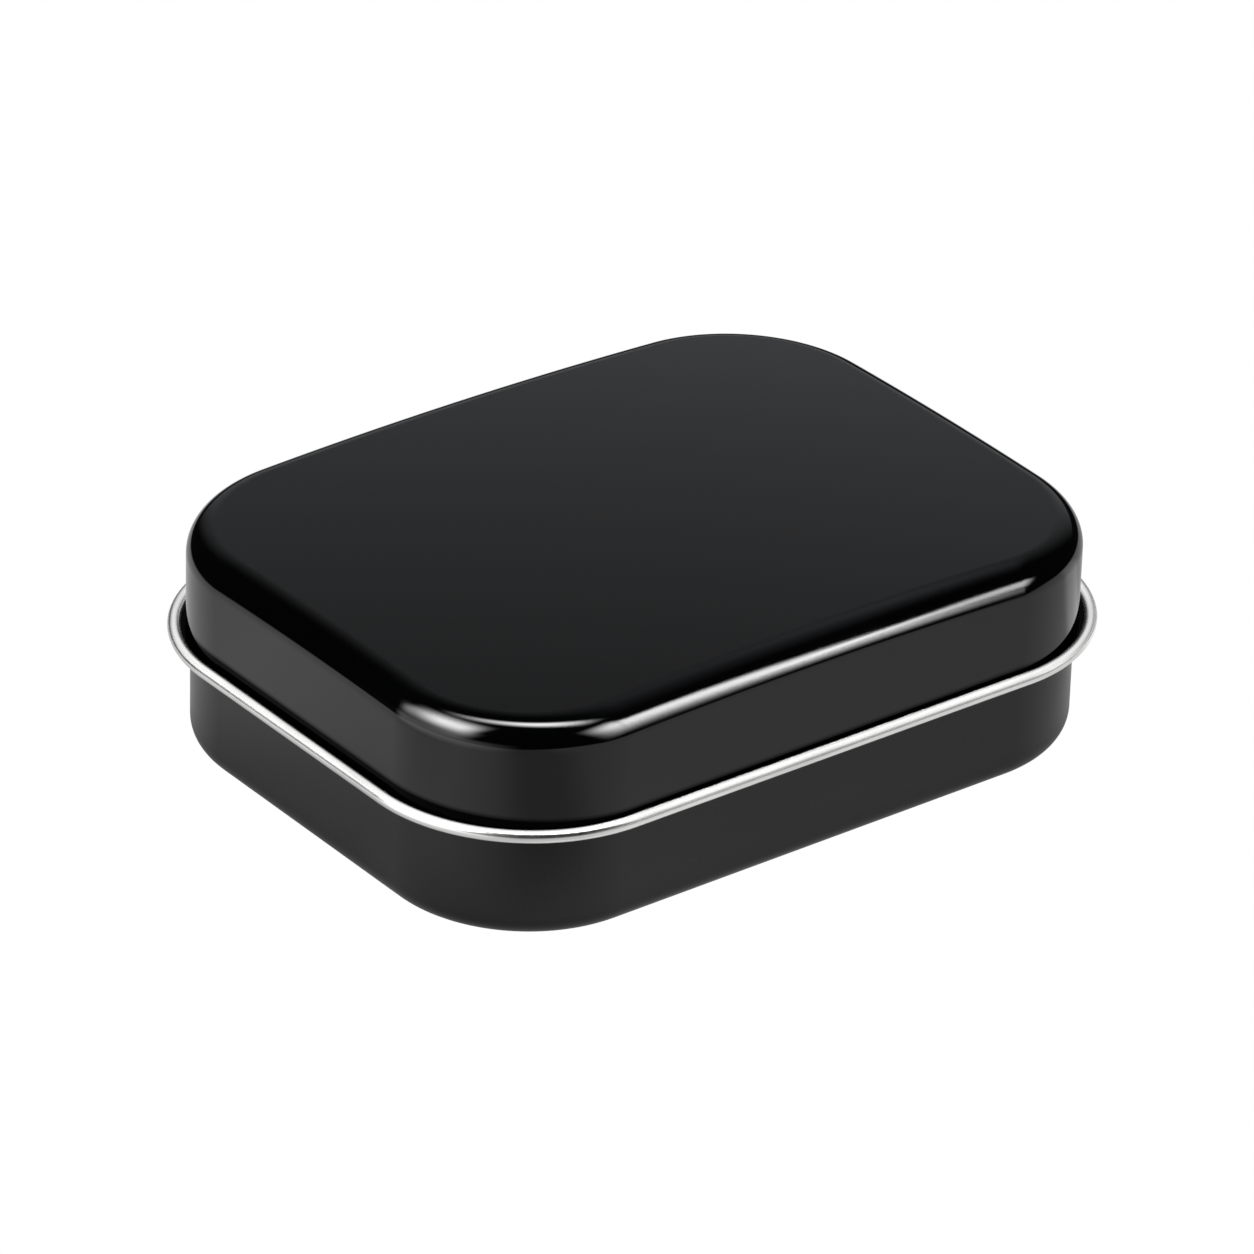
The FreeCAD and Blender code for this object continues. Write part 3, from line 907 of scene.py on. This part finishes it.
# the lit table as the tin mirrors it: azimuth, brightness close to the tin, brightness further out, and reach in mm
litTable = {
    "spots": [(0, 0.56, 0.56, 130), (45, 0.51, 0.51, 130), (83, 0.4, 0.47, 140), (101, 0.44, 0.5, 165),
              (104, 0.5, 0.8, 165), (112, 0.5, 0.85, 165), (116, 0.52, 0.53, 165), (126, 0.53, 0.55, 165),
              (135, 0.55, 0.57, 120), (145, 0.57, 0.58, 86), (165, 0.6, 0.6, 84), (180, 0.61, 0.61, 110),
              (200, 0.65, 0.57, 300), (212, 0.65, 0.38, 400), (226, 0.61, 0.37, 400), (238, 0.55, 0.68, 600),
              (252, 0.52, 0.79, 900), (268, 0.43, 0.66, 900), (284, 0.46, 0.68, 400), (300, 0.5, 0.79, 130),
              (316, 0.55, 0.68, 120), (338, 0.4, 0.62, 120), (360, 0.56, 0.56, 130)],
    "closeTo": (46.0, 60.0),  # radii between which close turns into further out
    "fade": 0.3,  # of the reach
    "footShade": (0.4, 4.0),  # how much darker the table is at the tin's foot, and how far out
    "bareGain": 0.2,  # more for the bare metal, at the front
    "bareFrom": (60, 20),  # azimuth where that starts, and over how much it comes in
    "bareTo": (250, 30),
    "bareFade": (100, 250),  # radius where it starts to fade, and over how much
    "azimuthStep": 4.0,
    "heights": (-0.0002, -0.0003),  # metres, of the sheet for all and the one for the bare metal
    "rings": [0, 15, 26, 30, 31, 32, 33, 34, 36, 38, 40, 42, 44, 46, 48, 50, 54, 58, 62, 68, 74, 80, 86, 92, 100,
              110, 120, 132, 146, 162, 180, 210, 250, 300, 360, 440, 540, 680, 850, 1050, 1300],
}


# how far a point of the table lies outside the base
def fromFoot(x, y):
    pastX = np.maximum(abs(x) - outline["length"] / 2 + outline["corner"], 0)
    pastY = np.maximum(abs(y) - outline["width"] / 2 + outline["corner"], 0)
    return np.hypot(pastX, pastY) - outline["corner"] + tray["inset"]


def makeLitTable():
    azimuth = np.arange(0, 360 + litTable["azimuthStep"] / 2, litTable["azimuthStep"])
    (start, comeIn), (end, goOut), (fadeAt, fadeOver) = (litTable[key] for key in ("bareFrom", "bareTo", "bareFade"))
    nearer = smooth((azimuth - start) / comeIn) * smooth((end - azimuth) / goOut) * litTable["bareGain"]
    spots = np.array(litTable["spots"], float).T
    close, level, reach = (np.interp(azimuth, spots[0], row) for row in spots[1:])
    near, far = litTable["closeTo"]
    shade, shadeReach = litTable["footShade"]
    plan, glow, gain = [], [], []
    for radius in litTable["rings"]:
        away = smooth((radius - near) / (far - near))
        lit = (close + (level - close) * away) * (1 - smooth((radius - reach) / (litTable["fade"] * reach)))
        x, y = radius * np.sin(np.radians(azimuth)), radius * np.cos(np.radians(azimuth))
        lost = lit * shade * (1 - smooth(fromFoot(x, y) / shadeReach))
        plan.append(np.column_stack([x * mm, y * mm, np.zeros(len(azimuth))]))
        glow.append(np.repeat((lit - lost)[:, None], 3, 1))
        # the bare metal takes no shade from the foot
        gain.append(np.repeat((nearer * (1 - smooth((radius - fadeAt) / fadeOver)) + lost)[:, None], 3, 1))
    quads = gridQuads(len(plan), len(azimuth))
    forAll, forBare = (np.vstack(plan) + (0, 0, height) for height in litTable["heights"])
    shiningSheet("litTable", forAll, quads, np.vstack(glow))
    lightOnly(shiningSheet("bareTable", forBare, quads, np.vstack(gain)), barePieces)


makeLitTable()

# the floor that the camera sees is plain white
whiteFloor = {
    "half": 4.0,  # metres
    "height": -0.0001,
}


def makeFloor():
    mesh = bpy.data.meshes.new("whiteFloor")
    corners = [(x * whiteFloor["half"], y * whiteFloor["half"], whiteFloor["height"])
               for x, y in ((-1, -1), (1, -1), (1, 1), (-1, 1))]
    mesh.from_pydata(corners, [], [(0, 1, 2, 3)])
    finish, tree = emptyFinish("whiteFloor")
    emission = addNode(tree, "ShaderNodeEmission", {"Color": (1, 1, 1, 1), "Strength": 1.0})
    output = addNode(tree, "ShaderNodeOutputMaterial")
    tree.links.new(emission.outputs["Emission"], output.inputs["Surface"])
    mesh.materials.append(finish)
    floor = addToScene("whiteFloor", mesh)
    floor.visible_glossy = False
    floor.visible_diffuse = False


makeFloor()

world = bpy.data.worlds.new("studio")
world.use_nodes = True
surround = world.node_tree.nodes["Background"]
surround.inputs["Color"].default_value = (1, 1, 1, 1)
surround.inputs["Strength"].default_value = studio["surround"]
bpy.context.scene.world = world
bpy.context.scene.view_settings.view_transform = "Standard"
print("studio lit")

# the photo's viewpoint: azimuth from straight in front, target and distance in millimetres
view = {
    "azimuth": -38.039,
    "elevation": 29.022,
    "distance": 841.95,
    "target": (-5.542, -6.031, 15.787),
    "roll": 1.693,
    "lens": 247.98,
    "sensor": 36.0,
    "clip": (0.01, 20.0),  # metres
}


def makeCamera():
    a, e, r = (math.radians(view[key]) for key in ("azimuth", "elevation", "roll"))
    back = Vector((math.sin(a) * math.cos(e), -math.cos(a) * math.cos(e), math.sin(e)))
    right = (-back).cross(Vector((0, 0, 1))).normalized()
    up = back.cross(right)
    tiltedRight = right * math.cos(r) + up * math.sin(r)
    tiltedUp = up * math.cos(r) - right * math.sin(r)
    place = (Vector(view["target"]) + back * view["distance"]) * mm
    lens = bpy.data.cameras.new("camera")
    lens.lens = view["lens"]
    lens.sensor_width = view["sensor"]
    lens.clip_start, lens.clip_end = view["clip"]
    camera = addToScene("camera", lens)
    camera.matrix_world = Matrix((
        (tiltedRight.x, tiltedUp.x, back.x, place.x), (tiltedRight.y, tiltedUp.y, back.y, place.y),
        (tiltedRight.z, tiltedUp.z, back.z, place.z), (0, 0, 0, 1)))
    bpy.context.scene.camera = camera


makeCamera()
print("camera set")
